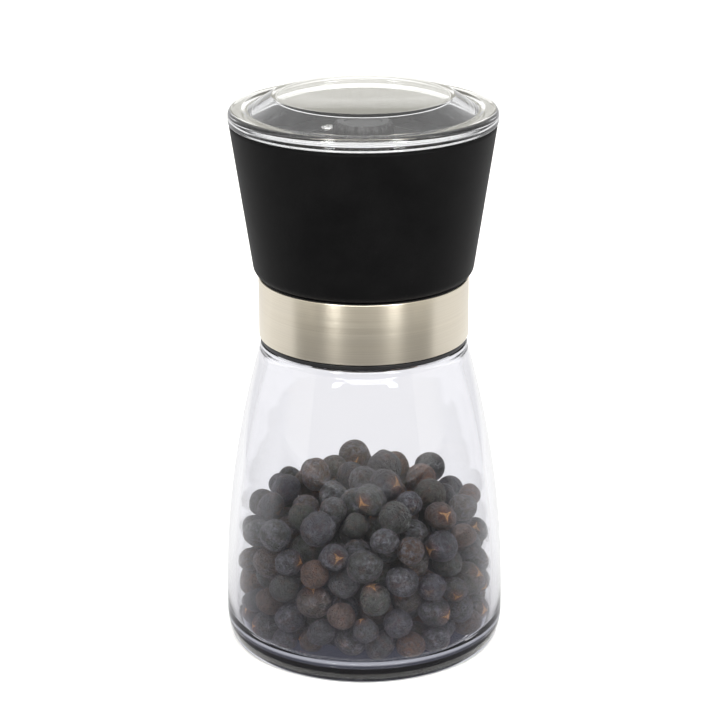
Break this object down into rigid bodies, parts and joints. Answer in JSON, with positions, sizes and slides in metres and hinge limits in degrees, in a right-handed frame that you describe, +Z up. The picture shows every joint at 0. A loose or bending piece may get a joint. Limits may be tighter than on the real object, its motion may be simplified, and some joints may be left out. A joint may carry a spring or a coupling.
{
  "type": "pepper mill",
  "caption": "Waisted hand pepper mill: clear flared glass jar of dried berries, brushed steel neck band, matte black turning head and clear dust cap over a ceramic burr grinder.",
  "frame": {"origin": "centre of the jar's base ring, on the surface the mill stands on", "axes": "+Z up along the mill's turning axis; +X to the right seen from the front, +Y away from the front"},
  "size_m": [0.0676, 0.0676, 0.1349],
  "materials": {
    "jar_glass": "clear pressed glass, thick at the heel",
    "berries": "dried dark berries, dull with a waxy bloom",
    "silicone": "satin translucent silicone",
    "black_plastic": "moulded black plastic, satin",
    "brushed_steel": "stainless band, brushed round its circumference",
    "bright_steel": "plain bright stainless steel",
    "burr_ceramic": "fired off-white ceramic, unglazed",
    "white_nylon": "natural nylon",
    "soft_touch_black": "soft-touch rubberised black coating",
    "clear_acrylic": "clear polished moulded plastic"
  },
  "bodies": {
    "jar": {"glass_jar": "jar_glass", "peppercorns": "berries"},
    "washer": {"sealing_washer": "silicone"},
    "collar": {"neck_collar": "black_plastic", "steel_band": "brushed_steel", "feed_spider": "black_plastic", "spider_screw_1": "bright_steel", "spider_screw_2": "bright_steel", "spider_screw_3": "bright_steel", "glide_ring": "white_nylon", "spindle": "bright_steel", "spring_washer": "bright_steel", "burr_spring": "bright_steel"},
    "head": {"head_shell": "soft_touch_black", "head_insert": "black_plastic", "outer_burr": "burr_ceramic", "burr_retainer": "black_plastic", "retainer_screw_1": "bright_steel", "retainer_screw_2": "bright_steel", "retainer_screw_3": "bright_steel"},
    "cap": {"dust_cap": "clear_acrylic"},
    "burr": {"inner_burr": "burr_ceramic", "burr_washer": "bright_steel", "spring_cup": "bright_steel"},
    "knob": {"adjusting_knob": "black_plastic"}
  },
  "joints": [
    {"name": "collar_lift", "type": "slide", "parent": "jar", "child": "washer", "axis": [0, 0, 1], "range_m": [0, 0.005]},
    {"name": "collar_turn", "type": "hinge", "parent": "washer", "child": "collar", "pos_m": [0, 0, 0.083], "axis": [0, 0, 1], "range_deg": [0, 450]},
    {"name": "head_turn", "type": "hinge", "parent": "collar", "child": "head", "pos_m": [0, 0, 0.096], "axis": [0, 0, 1], "continuous": true},
    {"name": "cap_lift", "type": "slide", "parent": "head", "child": "cap", "axis": [0, 0, 1], "range_m": [0, 0.04]},
    {"name": "burr_lift", "type": "slide", "parent": "collar", "child": "burr", "axis": [0, 0, 1], "range_m": [0, 0.0012], "deforming": ["burr_spring"]},
    {"name": "knob_turn", "type": "hinge", "parent": "burr", "child": "knob", "pos_m": [0, 0, 0.12], "axis": [0, 0, 1], "range_deg": [0, 540]}
  ],
  "couplings": [
    {"joint": "collar_lift", "follows": "collar_turn", "m_per_rad": 0.0006366},
    {"joint": "knob_turn", "follows": "burr_lift", "rad_per_m": 7854}
  ]
}
